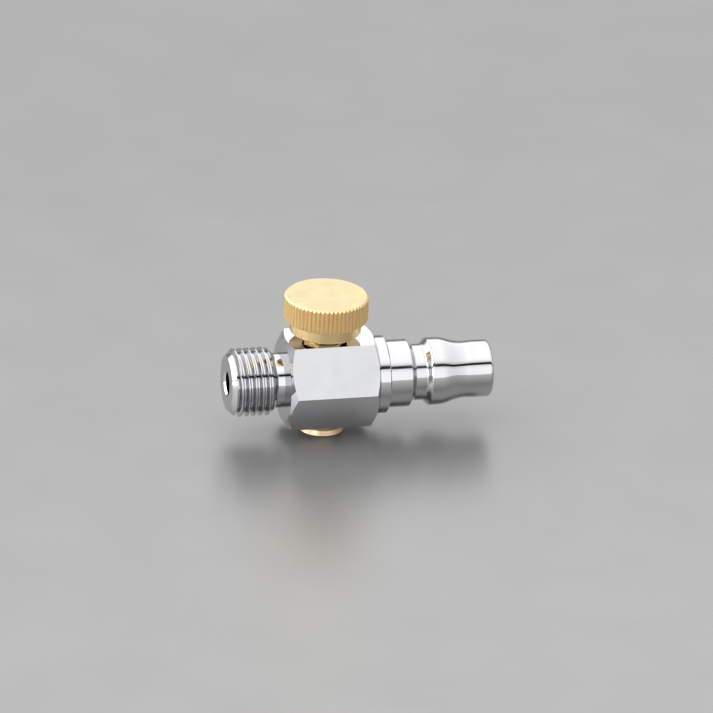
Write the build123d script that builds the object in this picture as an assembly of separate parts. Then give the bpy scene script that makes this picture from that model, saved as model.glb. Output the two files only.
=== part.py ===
from build123d import *
import math
import os

# Needle valve for a compressed-air line: male pipe thread at one end, quick-coupler plug at
# the other, metering knob on top. Millimetres, +Z up towards the knob, +X towards the coupler
# plug. The origin is where the flow axis and the spindle axis cross.

# ---- pipe thread end of the body
PIPE_R = 6.5785              # G1/4, 13.157 mm across the crests
PIPE_PITCH = 1.337
PIPE_DEPTH = 0.856
PIPE_HALF_ANGLE = 27.5
PIPE_END_X = -18.9
PIPE_END_R = 5.3
PIPE_START_ANGLE = 140.0
NECK_X = -9.9
NECK_R = 5.3
PIPE_BORE_R = 2.25
PIPE_MOUTH_R = 2.6           # countersunk mouth of the bore
PIPE_MOUTH_DEPTH = 0.35
PIPE_BORE_FLOOR_X = -5.2
UPPER_PORT_R = 1.2
UPPER_PORT_Z = 0.9

# ---- hexagon and round boss of the body
HEX_FLATS = 17.0
HEX_START_X = -8.0
HEX_END_X = 9.6
HEX_FACE_R = 7.95            # radius of the flat end face, where the 30 degree chamfer begins
CHAMFER_ANGLE = 30.0
BOSS_R = 7.5
BOSS_END_X = 11.8
EDGE = 0.2                   # small broken edges

# ---- bores on the spindle axis
FLAT_Z = HEX_FLATS / 2
GLAND_LEDGE_Z = 2.6
CHAMBER_R = 2.3
SEAT_R = 3.0
SEAT_TOP_Z = -0.6
SEAT_BOTTOM_Z = -1.9
ORIFICE_R = 1.31
ORIFICE_FLARE_R = 2.0
LOWER_PORT_R = 1.5
LOWER_PORT_Z = -3.45
BOTTOM_THREAD_TOP_Z = -5.2

# ---- coupler plug
PLUG_START_X = 7.4
PLUG_HOLE_FLOOR_X = 6.0
PLUG_THREAD_R = 5.0
PLUG_PITCH = 1.0
PLUG_SEAL_X = 10.8
PLUG_UNDERCUT_R = 4.3
PLUG_RECESS_R = 5.4
COLLAR_R = 6.5
COLLAR_END_X = 16.2
LOCK_GROOVE_R = 5.4
LOCK_GROOVE_X = (17.1, 19.2)
LAND_START_X = 20.2
LAND_END_X = 22.0
WAIST_X = 27.6
WAIST_R = 5.42
TAPER_SAG = 0.06             # how far the taper behind the land dips below a straight line
NOSE_R = 5.5
NOSE_START_X = 29.2
PLUG_END_X = 32.4
PLUG_BORE_R = 3.5
COLLAR_ROUND = 0.3
GROOVE_ROUND = 0.25
SHOULDER_ROUND = 0.7
NOSE_ROUND = 0.7

# ---- bottom plug and its washer
BOTTOM_THREAD_R = 3.5
BOTTOM_PITCH = 0.75
BOTTOM_UNDERCUT_R = 2.95
WASHER_BOTTOM_Z = -9.0
WASHER_R = 4.05
CAP_R = 4.45
CAP_BOTTOM_Z = -10.5
CAP_NECK_R = 4.1             # the head's side tapers in to this below the washer
CAP_NECK_Z = -9.45
SLOT_WIDTH = 1.0
SLOT_DEPTH = 0.8

# ---- gland nut
GLAND_THREAD_R = 4.0
GLAND_PITCH = 0.75
GLAND_NOSE_R = 3.5
GLAND_BOTTOM_Z = 3.45
GLAND_THREAD_Z = 5.0
GLAND_BORE_R = 2.5
GLAND_STEP_Z = 7.72
GLAND_TOP_Z = 11.5
GLAND_FLATS = 7.0
GLAND_CHAMFER = 0.7

# ---- spindle at rest, 0.6 mm above its closed position
STEM_THREAD_R = 2.0
STEM_PITCH = 0.5
STEM_LAND_R = 2.45
STEM_LAND_Z = (3.7, 6.1)
GROOVE_R = 1.6
GROOVE_Z = (4.15, 5.65)
SHANK_R = 1.5
CONE_HALF_ANGLE = 15.0
CONE_SEAT_R = 1.3            # radius of the cone at z = 0
TIP_R = 0.35
SPIGOT_R = 1.6
SPIGOT_TOP_Z = 16.0
SPIGOT_FLAT_Y = 1.4

# ---- knob and its set screw
KNOB_R = 8.05
KNOB_TOP_Z = 17.3
KNURL_BOTTOM_Z = 12.6
KNURL_COUNT = 60
KNURL_DEPTH = 0.32
KNURL_CREST_SHARE = 0.34
KNOB_CHAMFER = 0.35
HUB_R = 6.85
HUB_BOTTOM_Z = 10.0
HUB_RECESS_R = 4.35
HUB_RECESS_TOP_Z = 12.3
SCREW_Z = 14.8
SCREW_R = 1.5
SCREW_PITCH = 0.5
SCREW_Y = (1.42, 6.6)
SCREW_SOCKET_FLATS = 1.5
SCREW_SOCKET_DEPTH = 1.6

# ---- soft rings
GLAND_SEAL_SECTION_R = 0.42
GLAND_SEAL_CENTRE_R = 3.07
PLUG_SEAL_SECTION_R = 0.49
PLUG_SEAL_CENTRE_R = 4.85
STEM_RING_SECTION_R = 0.44
BACKUP_Z = (5.1, 5.62)

METRIC_DEPTH = 0.61          # depth of a metric thread as a share of its pitch
CREST_SHARE = 0.16           # width of a thread's crest flat as a share of its pitch
FIT = 0.01                   # radial gap between pieces that sit tight in one another
THREAD_FIT = 0.03            # radial gap between a thread's crests and its tapped hole
FLANK_STEPS = 6              # points along a thread's spiral flank
OVERSIZE = 1.0               # how far a trimming envelope stands clear of its blank


def turned(outline, axis=Axis.Z):
    """Solid of revolution from (distance along the axis, radius) points."""
    if axis == Axis.Z:
        line = Plane.XZ * Polyline(*[(r, a) for a, r in outline], close=True)
    else:
        line = Polyline(*outline, close=True)
    return revolve(make_face(line), axis)


def bar(r, low, high, axis=Axis.Z):
    """Plain round bar between two positions on the axis."""
    return turned([(low, 0), (low, r), (high, r), (high, 0)], axis)


def ring(r_in, r_out, low, high, axis=Axis.Z):
    """Flat ring of rectangular section."""
    return turned([(low, r_in), (low, r_out), (high, r_out), (high, r_in)], axis)


def o_ring(section_r, centre_r, centre, axis=Axis.Z):
    """Round-section ring."""
    torus = Torus(centre_r, section_r)
    if axis == Axis.Z:
        return Pos(0, 0, centre) * torus
    return Pos(centre, 0, 0) * Rot(0, 90, 0) * torus


def hexagonal_bar(flats, low, high):
    """Hexagonal bar about Z with two flats facing +Y and -Y."""
    section = RegularPolygon(flats / 2, 6, major_radius=False)
    return Pos(0, 0, low) * extrude(section, amount=high - low)


def polar(r, degrees):
    turn = math.radians(degrees)
    return (r * math.cos(turn), r * math.sin(turn))


def thread_section(crest_r, depth, pitch, half_angle):
    """Cross-section of a threaded rod: crest arc, spiral flank, root arc, spiral flank."""
    root_r = crest_r - depth
    half_crest = 360 * CREST_SHARE / 2
    flank = 360 * depth * math.tan(math.radians(half_angle)) / pitch
    steps = [n / FLANK_STEPS for n in range(FLANK_STEPS + 1)]
    falling = [polar(crest_r - depth * t, half_crest + flank * t) for t in steps]
    rising = [polar(root_r + depth * t, flank * (t - 1) - half_crest) for t in steps]
    crest = ThreePointArc(rising[-1], (crest_r, 0), falling[0])
    root = ThreePointArc(falling[-1], (-root_r, 0), rising[0])
    return make_face(crest + Spline(*falling) + root + Spline(*rising))


def threaded(crest_r, pitch, ends, end_radii, depth=None, half_angle=30.0, start=0.0):
    """Right-hand threaded rod about Z, tapered at 45 degrees to the given radius at each end."""
    low, high = ends
    depth = depth or METRIC_DEPTH * pitch
    section = Rot(0, 0, start) * thread_section(crest_r, depth, pitch, half_angle)
    length = high - low
    rod = Solid.extrude_linear_with_rotation(
        section.face().outer_wire(), (0, 0, 0), (0, 0, length), 360 * length / pitch
    )
    over_r = crest_r + 2 * EDGE
    envelope = turned(
        [
            (low, 0),
            (low, end_radii[0]),
            (low + over_r - end_radii[0], over_r),
            (high - over_r + end_radii[1], over_r),
            (high, end_radii[1]),
            (high, 0),
        ]
    )
    return (Pos(0, 0, low) * rod) & envelope


def z_to_x(shape):
    return Rot(0, 90, 0) * shape


def z_to_y(shape):
    return Rot(-90, 0, 0) * shape


def save(name, shape):
    """Write one piece, which must be one solid."""
    solids = shape.solids()
    if len(solids) != 1:
        raise ValueError(f"{name}: expected one solid, found {len(solids)}")
    solids[0].label = name
    export_step(solids[0], f"parts/{name}.step")


# ---------------------------------------------------------------- valve body
def hex_block():
    hexagon = Rot(0, 90, 0) * Rot(0, 0, 90) * hexagonal_bar(HEX_FLATS, HEX_START_X, HEX_END_X)
    corner_r = HEX_FLATS / 2 / math.cos(math.radians(30)) + OVERSIZE
    slope = (corner_r - HEX_FACE_R) * math.tan(math.radians(CHAMFER_ANGLE))
    envelope = turned(
        [
            (HEX_START_X, 0),
            (HEX_START_X, HEX_FACE_R),
            (HEX_START_X + slope, corner_r),
            (HEX_END_X - slope, corner_r),
            (HEX_END_X, HEX_FACE_R),
            (HEX_END_X, 0),
        ],
        Axis.X,
    )
    return hexagon & envelope


def pipe_stub():
    thread = threaded(
        PIPE_R,
        PIPE_PITCH,
        (PIPE_END_X, NECK_X),
        (PIPE_END_R, NECK_R),
        PIPE_DEPTH,
        PIPE_HALF_ANGLE,
        PIPE_START_ANGLE,
    )
    return z_to_x(thread) + bar(NECK_R, NECK_X, 0, Axis.X)


def body_blank():
    boss = turned(
        [
            (0, 0),
            (0, BOSS_R),
            (BOSS_END_X - EDGE, BOSS_R),
            (BOSS_END_X, BOSS_R - EDGE),
            (BOSS_END_X, 0),
        ],
        Axis.X,
    )
    return hex_block() + boss + pipe_stub()


def spindle_axis_bores():
    """Gland hole, needle chamber, seat pocket and bottom opening, from top to bottom."""
    thread_r = GLAND_THREAD_R + THREAD_FIT
    bottom_r = BOTTOM_THREAD_R + THREAD_FIT
    return turned(
        [
            (FLAT_Z, 0),
            (FLAT_Z, thread_r + EDGE),
            (FLAT_Z - EDGE, thread_r),
            (GLAND_THREAD_Z, thread_r),
            (GLAND_THREAD_Z, GLAND_NOSE_R + FIT),
            (GLAND_LEDGE_Z, GLAND_NOSE_R + FIT),
            (GLAND_LEDGE_Z, CHAMBER_R),
            (SEAT_TOP_Z, CHAMBER_R),
            (SEAT_TOP_Z, SEAT_R),
            (BOTTOM_THREAD_TOP_Z, SEAT_R),
            (BOTTOM_THREAD_TOP_Z, bottom_r),
            (-FLAT_Z, bottom_r),
            (-FLAT_Z, 0),
        ]
    )


def flow_axis_bores():
    """Drilling from the pipe end, tapped hole for the coupler plug, and the two offset ports."""
    pipe_bore = turned(
        [
            (PIPE_END_X, 0),
            (PIPE_END_X, PIPE_MOUTH_R),
            (PIPE_END_X + PIPE_MOUTH_DEPTH, PIPE_BORE_R),
            (PIPE_BORE_FLOOR_X, PIPE_BORE_R),
            (PIPE_BORE_FLOOR_X, 0),
        ],
        Axis.X,
    )
    plug_hole = bar(PLUG_THREAD_R + THREAD_FIT, PLUG_HOLE_FLOOR_X, BOSS_END_X, Axis.X)
    recess = bar(PLUG_RECESS_R, PLUG_SEAL_X, BOSS_END_X, Axis.X)
    upper_port = Pos(0, 0, UPPER_PORT_Z) * bar(UPPER_PORT_R, PIPE_BORE_FLOOR_X - EDGE, 0, Axis.X)
    lower_port = Pos(0, 0, LOWER_PORT_Z) * bar(LOWER_PORT_R, 0, PLUG_HOLE_FLOOR_X + EDGE, Axis.X)
    return pipe_bore + plug_hole + recess + upper_port + lower_port


def valve_body():
    return body_blank() - spindle_axis_bores() - flow_axis_bores()


# ---------------------------------------------------------------- coupler plug
def plug_profile():
    """Half section of the plug right of its threaded spigot, in (x, radius)."""
    back = Polyline(
        (PLUG_SEAL_X, PLUG_BORE_R),
        (PLUG_SEAL_X, PLUG_UNDERCUT_R),
        (BOSS_END_X, PLUG_UNDERCUT_R),
        (BOSS_END_X, COLLAR_R - EDGE),
        (BOSS_END_X + EDGE, COLLAR_R),
        (COLLAR_END_X, COLLAR_R),
        (LOCK_GROOVE_X[0], LOCK_GROOVE_R),
        (LOCK_GROOVE_X[1], LOCK_GROOVE_R),
        (LAND_START_X, COLLAR_R),
        (LAND_END_X, COLLAR_R),
    )
    middle_x = (LAND_END_X + WAIST_X) / 2
    middle_r = (COLLAR_R + WAIST_R) / 2
    taper = Spline(
        (LAND_END_X, COLLAR_R),
        (middle_x, middle_r - TAPER_SAG),
        (WAIST_X, WAIST_R),
        (NOSE_START_X, NOSE_R),
        tangents=[(1, 0), (1, 0)],
    )
    front = Polyline(
        (NOSE_START_X, NOSE_R),
        (PLUG_END_X, NOSE_R),
        (PLUG_END_X, PLUG_BORE_R + EDGE),
        (PLUG_END_X - EDGE, PLUG_BORE_R),
        (PLUG_SEAL_X, PLUG_BORE_R),
    )
    face = make_face(back + taper + front)
    rounds = {
        (COLLAR_END_X, COLLAR_R): COLLAR_ROUND,
        (LOCK_GROOVE_X[0], LOCK_GROOVE_R): GROOVE_ROUND,
        (LOCK_GROOVE_X[1], LOCK_GROOVE_R): SHOULDER_ROUND,
        (LAND_START_X, COLLAR_R): SHOULDER_ROUND,
        (PLUG_END_X, NOSE_R): NOSE_ROUND,
    }
    for (x, r), radius in rounds.items():
        corner = face.vertices().sort_by_distance((x, r, 0))[0]
        face = fillet(corner, radius)
    return face


def coupler_plug():
    thread = threaded(
        PLUG_THREAD_R,
        PLUG_PITCH,
        (PLUG_START_X, PLUG_SEAL_X),
        (PLUG_THREAD_R - 2 * EDGE, PLUG_UNDERCUT_R),
    )
    bore = bar(PLUG_BORE_R, PLUG_START_X, PLUG_SEAL_X, Axis.X)
    return (z_to_x(thread) - bore) + revolve(plug_profile(), Axis.X)


def plug_seal():
    centre = (PLUG_SEAL_X + BOSS_END_X) / 2
    return o_ring(PLUG_SEAL_SECTION_R, PLUG_SEAL_CENTRE_R, centre, Axis.X)


# ---------------------------------------------------------------- seat and bottom plug
def seat_ring():
    """Pressed orifice ring; the cone closes on its upper inner edge."""
    flare_z = SEAT_BOTTOM_Z + (ORIFICE_FLARE_R - ORIFICE_R)
    return turned(
        [
            (SEAT_TOP_Z, ORIFICE_R),
            (SEAT_TOP_Z, SEAT_R - FIT),
            (SEAT_BOTTOM_Z, SEAT_R - FIT),
            (SEAT_BOTTOM_Z, ORIFICE_FLARE_R),
            (flare_z, ORIFICE_R),
        ]
    )


def bottom_plug():
    """Screw plug whose low head widens towards its foot, with a driver slot underneath."""
    thread = threaded(
        BOTTOM_THREAD_R,
        BOTTOM_PITCH,
        (-FLAT_Z, BOTTOM_THREAD_TOP_Z),
        (BOTTOM_UNDERCUT_R, BOTTOM_THREAD_R - 2 * EDGE),
    )
    neck = bar(BOTTOM_UNDERCUT_R, WASHER_BOTTOM_Z, -FLAT_Z)
    head = turned(
        [
            (CAP_BOTTOM_Z, 0),
            (CAP_BOTTOM_Z, CAP_R - EDGE),
            (CAP_BOTTOM_Z + EDGE, CAP_R),
            (CAP_NECK_Z, CAP_NECK_R),
            (WASHER_BOTTOM_Z, CAP_NECK_R),
            (WASHER_BOTTOM_Z, 0),
        ]
    )
    slot = Pos(0, 0, CAP_BOTTOM_Z) * Box(3 * CAP_R, SLOT_WIDTH, 2 * SLOT_DEPTH)
    return thread + neck + (head - slot)


def bottom_washer():
    return ring(BOTTOM_THREAD_R + THREAD_FIT, WASHER_R, WASHER_BOTTOM_Z, -FLAT_Z)


# ---------------------------------------------------------------- gland
def gland_nut():
    thread = threaded(
        GLAND_THREAD_R,
        GLAND_PITCH,
        (GLAND_THREAD_Z, FLAT_Z),
        (GLAND_NOSE_R, GLAND_NOSE_R),
    )
    nose = bar(GLAND_NOSE_R, GLAND_BOTTOM_Z, GLAND_THREAD_Z)
    head_r = GLAND_FLATS / 2
    head = hexagonal_bar(GLAND_FLATS, FLAT_Z, GLAND_TOP_Z) & turned(
        [
            (FLAT_Z, 0),
            (FLAT_Z, head_r + OVERSIZE),
            (GLAND_TOP_Z - GLAND_CHAMFER, head_r + OVERSIZE),
            (GLAND_TOP_Z, head_r - EDGE),
            (GLAND_TOP_Z, 0),
        ]
    )
    hole = turned(
        [
            (GLAND_BOTTOM_Z, 0),
            (GLAND_BOTTOM_Z, GLAND_BORE_R),
            (GLAND_STEP_Z, GLAND_BORE_R),
            (GLAND_STEP_Z, STEM_THREAD_R + THREAD_FIT),
            (GLAND_TOP_Z, STEM_THREAD_R + THREAD_FIT),
            (GLAND_TOP_Z, 0),
        ]
    )
    return thread + nose + head - hole


def gland_seal():
    centre = (GLAND_LEDGE_Z + GLAND_BOTTOM_Z) / 2
    return o_ring(GLAND_SEAL_SECTION_R, GLAND_SEAL_CENTRE_R, centre)


# ---------------------------------------------------------------- spindle
def needle_and_land():
    slope = math.tan(math.radians(CONE_HALF_ANGLE))
    return turned(
        [
            ((TIP_R - CONE_SEAT_R) / slope, 0),
            ((TIP_R - CONE_SEAT_R) / slope, TIP_R),
            ((SHANK_R - CONE_SEAT_R) / slope, SHANK_R),
            (STEM_LAND_Z[0], SHANK_R),
            (STEM_LAND_Z[0], STEM_LAND_R - EDGE),
            (STEM_LAND_Z[0] + EDGE, STEM_LAND_R),
            (GROOVE_Z[0], STEM_LAND_R),
            (GROOVE_Z[0], GROOVE_R),
            (GROOVE_Z[1], GROOVE_R),
            (GROOVE_Z[1], STEM_LAND_R),
            (STEM_LAND_Z[1], STEM_LAND_R),
            (STEM_LAND_Z[1], 0),
        ]
    )


def spindle():
    relief_z = STEM_LAND_Z[1] + 2 * EDGE
    screw = threaded(
        STEM_THREAD_R, STEM_PITCH, (relief_z, HUB_RECESS_TOP_Z), (SPIGOT_R, SPIGOT_R)
    )
    relief = bar(SPIGOT_R, STEM_LAND_Z[1], relief_z)
    spigot = turned(
        [
            (HUB_RECESS_TOP_Z, 0),
            (HUB_RECESS_TOP_Z, SPIGOT_R),
            (SPIGOT_TOP_Z - EDGE, SPIGOT_R),
            (SPIGOT_TOP_Z, SPIGOT_R - EDGE),
            (SPIGOT_TOP_Z, 0),
        ]
    )
    flat = Pos(0, SPIGOT_FLAT_Y + SPIGOT_R, SCREW_Z) * Box(
        4 * SPIGOT_R, 2 * SPIGOT_R, 3 * SCREW_R
    )
    return needle_and_land() + relief + screw + (spigot - flat)


def stem_o_ring():
    centre_r = (GROOVE_R + GLAND_BORE_R) / 2
    return o_ring(STEM_RING_SECTION_R, centre_r, GROOVE_Z[0] + FIT + STEM_RING_SECTION_R)


def backup_ring():
    return ring(GROOVE_R + 2 * FIT, GLAND_BORE_R - 2 * FIT, *BACKUP_Z)


# ---------------------------------------------------------------- knob
def knurl_outline():
    """Star of straight ridges, each with a narrow crest, and V grooves between them."""
    step = 360 / KNURL_COUNT
    half_crest = step * KNURL_CREST_SHARE / 2
    points = []
    for n in range(KNURL_COUNT):
        middle = n * step
        for r, angle in (
            (KNOB_R, middle - half_crest),
            (KNOB_R, middle + half_crest),
            (KNOB_R - KNURL_DEPTH, middle + step / 2),
        ):
            points.append(polar(r, angle))
    return make_face(Polyline(*points, close=True))


def knob_head():
    ridges = Pos(0, 0, KNURL_BOTTOM_Z) * extrude(knurl_outline(), amount=KNOB_TOP_Z - KNURL_BOTTOM_Z)
    return ridges & turned(
        [
            (KNURL_BOTTOM_Z, 0),
            (KNURL_BOTTOM_Z, KNOB_R - EDGE),
            (KNURL_BOTTOM_Z + EDGE, KNOB_R),
            (KNOB_TOP_Z - KNOB_CHAMFER, KNOB_R),
            (KNOB_TOP_Z, KNOB_R - KNOB_CHAMFER),
            (KNOB_TOP_Z, 0),
        ]
    )


def knob():
    hub = turned(
        [
            (HUB_BOTTOM_Z, 0),
            (HUB_BOTTOM_Z, HUB_R - EDGE),
            (HUB_BOTTOM_Z + EDGE, HUB_R),
            (KNURL_BOTTOM_Z, HUB_R),
            (KNURL_BOTTOM_Z, 0),
        ]
    )
    hole = turned(
        [
            (HUB_BOTTOM_Z, 0),
            (HUB_BOTTOM_Z, HUB_RECESS_R),
            (HUB_RECESS_TOP_Z, HUB_RECESS_R),
            (HUB_RECESS_TOP_Z, SPIGOT_R + FIT),
            (SPIGOT_TOP_Z, SPIGOT_R + FIT),
            (SPIGOT_TOP_Z, 0),
        ]
    )
    screw_hole = Pos(0, 0, SCREW_Z) * z_to_y(bar(SCREW_R + THREAD_FIT, 0, KNOB_R))
    return knob_head() + hub - hole - screw_hole


def knob_set_screw():
    """Headless screw with a cup point, bearing on the spindle's flat."""
    start, end = SCREW_Y
    screw = threaded(SCREW_R, SCREW_PITCH, SCREW_Y, (SCREW_R - 3 * EDGE, SCREW_R - EDGE))
    socket = hexagonal_bar(SCREW_SOCKET_FLATS, end - SCREW_SOCKET_DEPTH, end)
    cup = turned([(start, 0), (start, 2 * EDGE), (start + 2 * EDGE, 0)])
    return Pos(0, 0, SCREW_Z) * z_to_y(screw - socket - cup)


PIECES = {
    "valve_body": valve_body,
    "coupler_plug": coupler_plug,
    "plug_seal": plug_seal,
    "seat_ring": seat_ring,
    "bottom_plug": bottom_plug,
    "bottom_washer": bottom_washer,
    "gland_nut": gland_nut,
    "gland_seal": gland_seal,
    "spindle": spindle,
    "stem_o_ring": stem_o_ring,
    "backup_ring": backup_ring,
    "knob": knob,
    "knob_set_screw": knob_set_screw,
}

os.makedirs("parts", exist_ok=True)
for name, make in PIECES.items():
    save(name, make())
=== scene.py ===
import math

import bpy
from mathutils import Matrix, Vector


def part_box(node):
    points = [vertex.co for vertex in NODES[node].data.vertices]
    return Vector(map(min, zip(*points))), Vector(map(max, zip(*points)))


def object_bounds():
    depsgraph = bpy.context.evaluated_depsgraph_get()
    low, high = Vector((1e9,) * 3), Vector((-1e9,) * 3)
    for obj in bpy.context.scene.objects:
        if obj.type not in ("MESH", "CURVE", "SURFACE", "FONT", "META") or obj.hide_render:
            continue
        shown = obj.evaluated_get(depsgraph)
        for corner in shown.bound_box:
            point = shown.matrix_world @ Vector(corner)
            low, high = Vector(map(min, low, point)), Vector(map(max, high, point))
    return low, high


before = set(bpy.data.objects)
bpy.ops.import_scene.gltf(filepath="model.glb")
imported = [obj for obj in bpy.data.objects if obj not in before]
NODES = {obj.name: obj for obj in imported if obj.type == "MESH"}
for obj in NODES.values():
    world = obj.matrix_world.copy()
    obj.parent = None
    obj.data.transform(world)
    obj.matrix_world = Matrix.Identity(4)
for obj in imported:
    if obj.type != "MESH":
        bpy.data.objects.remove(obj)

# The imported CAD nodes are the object. This script gives each of them its finish, and sets the
# table, the light and the camera. Lengths are in metres, in the CAD's own frame.

CAD_LOW, CAD_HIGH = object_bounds()
MM = 1e-3
MICRON = 1e-6
X, Y, Z = range(3)

# ---- camera
CAMERA_AZIMUTH = -14.15      # degrees; 0 looks along +Y
CAMERA_ELEVATION = 24.6
CAMERA_ROLL = 2.6
CAMERA_DISTANCE = 2.5
CAMERA_CLIP = (0.01, 20.0)   # the nearest and the furthest that it sees
FRAME_WIDTH = 0.1362         # what the picture's width spans at the object
AIM_RIGHT = 0.00638          # from the origin to the picture's centre, in the picture's plane
AIM_UP = 0.00399
SENSOR = 36.0                # width in millimetres, as Blender wants it

# ---- studio light: brightness all round the X axis, from the table in front, up and over to
# the back; degrees above the front horizon
LIGHT_BANDS = (
    (-90, 0.30),
    (0, 1.66),
    (6, 1.71),
    (28, 1.68),
    (34, 1.45),
    (38, 1.25),
    (38.5, 0.03),
    (47.5, 0.03),
    (48.5, 0.95),
    (52, 1.30),
    (58, 1.70),
    (70, 1.85),
    (140, 1.85),
    (148, 1.95),
    (156, 1.85),
    (160, 1.20),
    (166, 0.50),
    (172, 0.30),
    (180, 0.25),
)
# what that is multiplied by, from the far left (-1) to the far right (1)
SIDE_BANDS = (
    (-1.0, 2.60),
    (-0.6, 2.00),
    (-0.3, 0.80),
    (0.25, 1.00),
    (1.0, 0.60),
)

# ---- table
TABLE_SIZE = 6.0
# painted shade: the table's tone darkens from front to back along Y
TABLE_TONES = ((0.130, 0.130, 0.129), (0.098, 0.098, 0.098))
TABLE_SHADE_FADE = (-0.08, 0.14)   # where along Y it goes from the first tone to the second: painted shade, the table darker towards the back
TABLE_ROUGHNESS = (0.31, 0.37)
TABLE_IOR = 2.35

# ---- finishes: the main tone of each, and the tone of its haze, streaks or worn patches
CHROME = ((0.550, 0.554, 0.566), (0.510, 0.512, 0.528))
PLATE = ((0.550, 0.552, 0.560), (0.505, 0.508, 0.520))
SPINDLE_BRASS = ((0.78, 0.63, 0.34), (0.70, 0.53, 0.26))
GLAND_BRASS = ((0.78, 0.63, 0.34), (0.68, 0.50, 0.24))
SEAT_BRASS = ((0.78, 0.63, 0.34), (0.70, 0.55, 0.28))
AGED_BRASS = ((0.54, 0.38, 0.265), (0.43, 0.28, 0.18))
COPPER = ((0.72, 0.44, 0.30), (0.62, 0.33, 0.22))
RUBBER = ((0.02, 0.02, 0.022), (0.05, 0.05, 0.05))
POLYMER = ((0.86, 0.86, 0.83), (0.78, 0.77, 0.72))
BLACK_STEEL = ((0.10, 0.10, 0.105), (0.24, 0.22, 0.20))
TURNED_ROUGHNESS = (0.16, 0.30)
AGED_ROUGHNESS = (0.22, 0.36)
NOISE_MIDDLE = (0.3, 0.7)    # nearly all of a noise pattern lies between these
WANDER_NOISE = 900.0         # scale of the noise that makes tool marks wander

# ---- knob: painted light in two tones of one brass: a pale turned top that stands in for the top's washed-out highlight, and a deeper tone on the ridged rim and the hub that stands in for their shade
# painted light: the first tone is the top's painted highlight, the second the rim's and hub's
# painted shade
KNOB_LIT_AND_SHADED_BRASS = ((0.60, 0.505, 0.295), (0.90, 0.67, 0.34))
RIM_START = 0.955            # where the rim begins, as a share of the knob's radius
RIM_DULLNESS = 0.36          # roughness that the rim has over the turned faces
HUB_SHADE_SHARE = 0.33             # how far up the hub's painted shade runs, as a share of the knob's height
TONE_FADE = 0.1 * MM         # how far one tone runs into the next
KNOB_BRUSHING = 0.7          # how far its turned faces stretch a highlight


def math_node(tree, operation, *terms):
    """Add a math node to a node tree. Its terms are numbers and outputs of other nodes."""
    made = tree.nodes.new("ShaderNodeMath")
    made.operation = operation
    for socket, term in zip(made.inputs, terms):
        if isinstance(term, (int, float)):
            socket.default_value = term
        else:
            tree.links.new(term, socket)
    return made.outputs[0]


class Finish:
    """A Principled material and the few node chains that the finishes share."""

    def __init__(self, name, metallic):
        self.material = bpy.data.materials.new(name)
        self.material.use_nodes = True
        self.tree = self.material.node_tree
        self.shader = self.tree.nodes["Principled BSDF"]
        self.shader.inputs["Metallic"].default_value = metallic
        self.place = self.tree.nodes.new("ShaderNodeTexCoord").outputs["Object"]
        self.normal = None

    def node(self, kind, **values):
        made = self.tree.nodes.new(kind)
        for key, value in values.items():
            setattr(made, key, value)
        return made

    def join(self, start, end):
        self.tree.links.new(start, end)

    def calculate(self, operation, *terms):
        return math_node(self.tree, operation, *terms)

    def noise(self, scale, detail, stretch=(1, 1, 1), distortion=0.0):
        """Noise of about scale features a metre, finer along each axis as stretch says."""
        mapping = self.node("ShaderNodeMapping")
        mapping.inputs["Scale"].default_value = stretch
        self.join(self.place, mapping.inputs["Vector"])
        made = self.node("ShaderNodeTexNoise")
        made.inputs["Scale"].default_value = scale
        made.inputs["Detail"].default_value = detail
        made.inputs["Distortion"].default_value = distortion
        self.join(mapping.outputs[0], made.inputs["Vector"])
        return made.outputs["Fac"]

    def spread(self, source, low, high, to_low=0.0, to_high=1.0):
        """Stretch the part of a pattern between low and high to a new range."""
        made = self.node("ShaderNodeMapRange")
        for key, value in (
            ("From Min", low),
            ("From Max", high),
            ("To Min", to_low),
            ("To Max", to_high),
        ):
            made.inputs[key].default_value = value
        self.join(source, made.inputs["Value"])
        return made.outputs[0]

    def patches(self, scale, least, most):
        """Soft patches of values from least to most."""
        return self.spread(self.noise(scale, detail=3.0), *NOISE_MIDDLE, least, most)

    def roughness(self, source):
        self.join(source, self.shader.inputs["Roughness"])

    def tint(self, source, tones):
        """Base colour that goes from one tone to the other with a 0 to 1 pattern."""
        mix = self.node("ShaderNodeMix", data_type="RGBA")
        for key, tone in zip("AB", tones):
            mix.inputs[key].default_value = (*tone, 1.0)
        self.join(source, mix.inputs["Factor"])
        self.join(mix.outputs["Result"], self.shader.inputs["Base Color"])

    def relief(self, source, height):
        """Add surface relief of this height on top of any before it."""
        bump = self.node("ShaderNodeBump")
        bump.inputs["Strength"].default_value = 1.0
        bump.inputs["Distance"].default_value = height
        self.join(source, bump.inputs["Height"])
        if self.normal:
            self.join(self.normal, bump.inputs["Normal"])
        self.normal = bump.outputs["Normal"]
        self.join(self.normal, self.shader.inputs["Normal"])

    def along(self, axis):
        parts = self.node("ShaderNodeSeparateXYZ")
        self.join(self.place, parts.inputs[0])
        return parts.outputs[axis]

    def distance_from_axis(self, axis):
        across = [self.along(n) for n in (X, Y, Z) if n != axis]
        squares = [self.calculate("MULTIPLY", s, s) for s in across]
        return self.calculate("SQRT", self.calculate("ADD", *squares))

    def grooves(self, axis, pitch, wander):
        """Tool marks: rings about an axis on a face, and lines round it on a shaft."""
        straight = self.calculate("ADD", self.along(axis), self.distance_from_axis(axis))
        shift = self.calculate("MULTIPLY", self.noise(WANDER_NOISE, detail=2.0), wander)
        phase = self.calculate("ADD", straight, shift)
        wave = self.calculate("SINE", self.calculate("MULTIPLY", phase, 2 * math.pi / pitch))
        return self.calculate("MULTIPLY_ADD", wave, 0.5, 0.5)

    def brushed(self, amount, axis):
        """Stretch highlights round an axis, as on a face turned in a lathe."""
        self.shader.inputs["Anisotropic"].default_value = amount
        tangent = self.node("ShaderNodeTangent", direction_type="RADIAL", axis=axis)
        self.join(tangent.outputs[0], self.shader.inputs["Tangent"])


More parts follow.
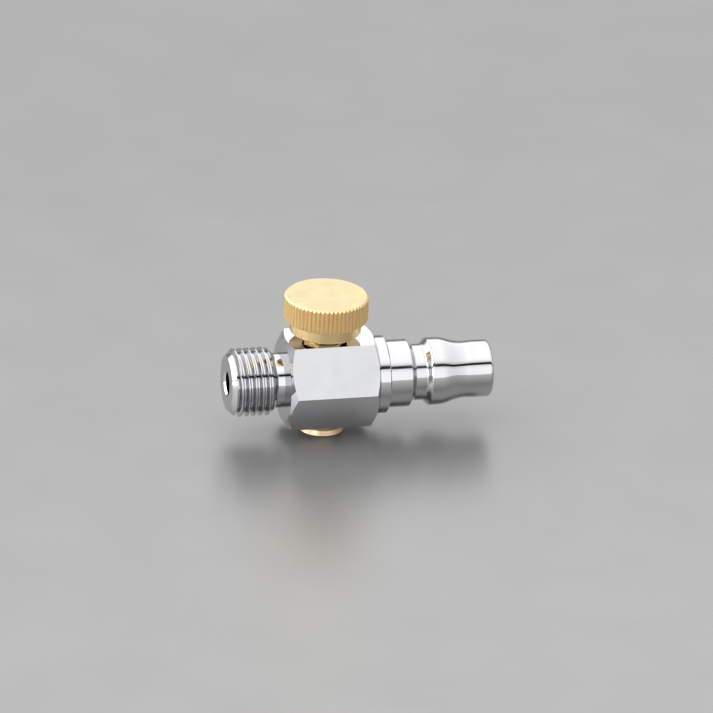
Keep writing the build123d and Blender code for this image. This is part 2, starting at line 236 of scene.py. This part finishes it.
# ---------------------------------------------------------------- finishes
def chromed_body():
    f = Finish("chromed_body", metallic=1.0)
    smudges = f.noise(120.0, detail=5.0, distortion=0.6)
    hairlines = f.noise(700.0, detail=3.0, stretch=(0.06, 1.0, 1.0))
    f.tint(f.spread(smudges, 0.45, 0.80), CHROME)
    polish = f.spread(smudges, 0.45, 0.75, 0.045, 0.11)
    scuffs = f.spread(hairlines, 0.62, 0.72, 0.0, 0.04)
    f.roughness(f.calculate("ADD", polish, scuffs))
    f.relief(f.noise(260.0, detail=2.0), 1.5 * MICRON)
    f.relief(hairlines, 0.6 * MICRON)
    return f.material


def plated_plug():
    f = Finish("plated_plug", metallic=1.0)
    smudges = f.noise(150.0, detail=4.0)
    f.tint(f.spread(smudges, 0.42, 0.78), PLATE)
    f.roughness(f.spread(smudges, 0.40, 0.75, 0.055, 0.12))
    f.relief(f.grooves(X, pitch=0.11 * MM, wander=0.04 * MM), 0.7 * MICRON)
    f.relief(f.noise(300.0, detail=2.0), 1.2 * MICRON)
    return f.material


def knob_brass():
    """Bright turned top; the rolled rim is duller. Its tones are painted light: the pale top
    stands in for a highlight, and the deeper tone of the rim and the hub for shade.
    """
    f = Finish("knob_brass", metallic=1.0)
    low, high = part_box("knob")
    rim_start = RIM_START * high.x
    rim = f.spread(f.distance_from_axis(Z), rim_start, rim_start + TONE_FADE)
    hub_top = low.z + HUB_SHADE_SHARE * (high.z - low.z)
    # painted shade: the hub takes the rim's deeper tone up to hub_top
    hub = f.spread(f.along(Z), hub_top, hub_top + TONE_FADE, 1.0, 0.0)
    toning = f.spread(f.noise(160.0, detail=4.0, distortion=0.4), 0.35, 0.75, 0.0, 0.25)
    painted_shade_and_toning = f.calculate("MAXIMUM", f.calculate("MAXIMUM", rim, hub), toning)
    # painted light: pale top tone as a highlight, deeper rim and hub tone as shade, plus random
    # toning
    f.tint(painted_shade_and_toning, KNOB_LIT_AND_SHADED_BRASS)
    turned = f.patches(500.0, 0.18, 0.27)
    f.roughness(f.calculate("MULTIPLY_ADD", rim, RIM_DULLNESS, turned))
    f.relief(f.grooves(Z, pitch=0.13 * MM, wander=0.03 * MM), 2.5 * MICRON)
    f.brushed(KNOB_BRUSHING, "Z")
    return f.material


def turned_metal(name, tones, roughness=TURNED_ROUGHNESS):
    """Brass or copper turned about Z, with faint streaks of a second tone."""
    f = Finish(name, metallic=1.0)
    f.tint(f.spread(f.noise(220.0, detail=4.0), 0.35, 0.75), tones)
    f.roughness(f.patches(420.0, *roughness))
    f.relief(f.grooves(Z, pitch=0.15 * MM, wander=0.04 * MM), 2 * MICRON)
    return f.material


def rubber():
    f = Finish("seal_rubber", metallic=0.0)
    f.tint(f.spread(f.noise(700.0, detail=4.0), 0.4, 0.7), RUBBER)
    f.roughness(f.patches(900.0, 0.42, 0.65))
    f.relief(f.noise(2600.0, detail=3.0), 6 * MICRON)
    return f.material


def backup_polymer():
    f = Finish("backup_polymer", metallic=0.0)
    f.tint(f.spread(f.noise(500.0, detail=3.0), 0.4, 0.7), POLYMER)
    f.roughness(f.patches(800.0, 0.32, 0.5))
    f.relief(f.grooves(Z, pitch=0.2 * MM, wander=0.05 * MM), 3 * MICRON)
    return f.material


def black_steel():
    f = Finish("screw_steel", metallic=1.0)
    f.tint(f.spread(f.noise(900.0, detail=4.0), 0.45, 0.75), BLACK_STEEL)
    f.roughness(f.patches(1200.0, 0.32, 0.52))
    f.relief(f.noise(2400.0, detail=3.0), 3 * MICRON)
    return f.material


def table_top():
    f = Finish("table", metallic=0.0)
    f.shader.inputs["IOR"].default_value = TABLE_IOR
    # painted shade: darker towards the back of the table
    f.tint(f.spread(f.along(Y), *TABLE_SHADE_FADE), TABLE_TONES)
    f.roughness(f.patches(60.0, *TABLE_ROUGHNESS))
    return f.material


def finish_nodes():
    """Give every CAD node its finish, in place of the plain one that it comes with."""
    seal = rubber()
    finishes = {
        "valve_body": chromed_body(),
        "coupler_plug": plated_plug(),
        "knob": knob_brass(),
        "spindle": turned_metal("spindle_brass", SPINDLE_BRASS),
        "gland_nut": turned_metal("gland_brass", GLAND_BRASS),
        "seat_ring": turned_metal("seat_brass", SEAT_BRASS),
        "bottom_plug": turned_metal("plug_brass", AGED_BRASS, AGED_ROUGHNESS),
        "bottom_washer": turned_metal("washer_copper", COPPER),
        "plug_seal": seal,
        "gland_seal": seal,
        "stem_o_ring": seal,
        "backup_ring": backup_polymer(),
        "knob_set_screw": black_steel(),
    }
    for name, material in finishes.items():
        materials = NODES[name].data.materials
        materials.clear()
        materials.append(material)


# ---------------------------------------------------------------- table, light, camera
def make_table():
    half = TABLE_SIZE / 2
    low = CAD_LOW.z
    corners = [(-half, -half, low), (half, -half, low), (half, half, low), (-half, half, low)]
    mesh = bpy.data.meshes.new("table")
    mesh.from_pydata(corners, [], [(0, 1, 2, 3)])
    mesh.materials.append(table_top())
    table = bpy.data.objects.new("table", mesh)
    bpy.context.scene.collection.objects.link(table)


def band_light(tree, source, bands):
    """Brightness that follows the bands as the source goes from the first to the last."""
    first, last = bands[0][0], bands[-1][0]
    brightest = max(level for _, level in bands)
    gone = math_node(tree, "SUBTRACT", source, first)
    share = math_node(tree, "DIVIDE", gone, last - first)
    ramp = tree.nodes.new("ShaderNodeValToRGB")
    stops = ramp.color_ramp.elements
    while len(stops) < len(bands):
        stops.new(0.5)
    for stop, (position, level) in zip(stops, bands):
        stop.position = (position - first) / (last - first)
        stop.color = (*[level / brightest] * 3, 1.0)
    tree.links.new(share, ramp.inputs["Fac"])
    return math_node(tree, "MULTIPLY", ramp.outputs["Color"], brightest)


def make_light():
    """A softbox in front and a larger one overhead and behind, with a dark seam between them."""
    world = bpy.data.worlds.new("studio")
    bpy.context.scene.world = world
    world.use_nodes = True
    tree = world.node_tree
    direction = tree.nodes.new("ShaderNodeTexCoord")
    parts = tree.nodes.new("ShaderNodeSeparateXYZ")
    tree.links.new(direction.outputs["Generated"], parts.inputs[0])
    forward = math_node(tree, "MULTIPLY", parts.outputs["Y"], -1.0)
    turned = math_node(tree, "ARCTAN2", parts.outputs["Z"], forward)
    round_axis = band_light(tree, math_node(tree, "DEGREES", turned), LIGHT_BANDS)
    sideways = band_light(tree, parts.outputs["X"], SIDE_BANDS)
    strength = math_node(tree, "MULTIPLY", round_axis, sideways)
    background = tree.nodes["Background"]
    background.inputs["Color"].default_value = (1.0, 1.0, 1.0, 1.0)
    tree.links.new(strength, background.inputs["Strength"])


def make_camera():
    azimuth = math.radians(CAMERA_AZIMUTH)
    elevation = math.radians(CAMERA_ELEVATION)
    back = Vector(
        (
            math.sin(azimuth) * math.cos(elevation),
            -math.cos(azimuth) * math.cos(elevation),
            math.sin(elevation),
        )
    )
    turn = (-back).to_track_quat("-Z", "Y").to_matrix()
    turn = turn @ Matrix.Rotation(math.radians(CAMERA_ROLL), 3, "Z")
    aim = turn @ Vector((AIM_RIGHT, AIM_UP, 0.0))
    data = bpy.data.cameras.new("camera")
    data.sensor_width = SENSOR
    data.lens = SENSOR * CAMERA_DISTANCE / FRAME_WIDTH
    data.clip_start, data.clip_end = CAMERA_CLIP
    camera = bpy.data.objects.new("camera", data)
    camera.matrix_world = Matrix.Translation(aim + back * CAMERA_DISTANCE) @ turn.to_4x4()
    bpy.context.scene.collection.objects.link(camera)
    bpy.context.scene.camera = camera


finish_nodes()
make_table()
make_light()
make_camera()
bpy.context.scene.view_settings.view_transform = "Standard"
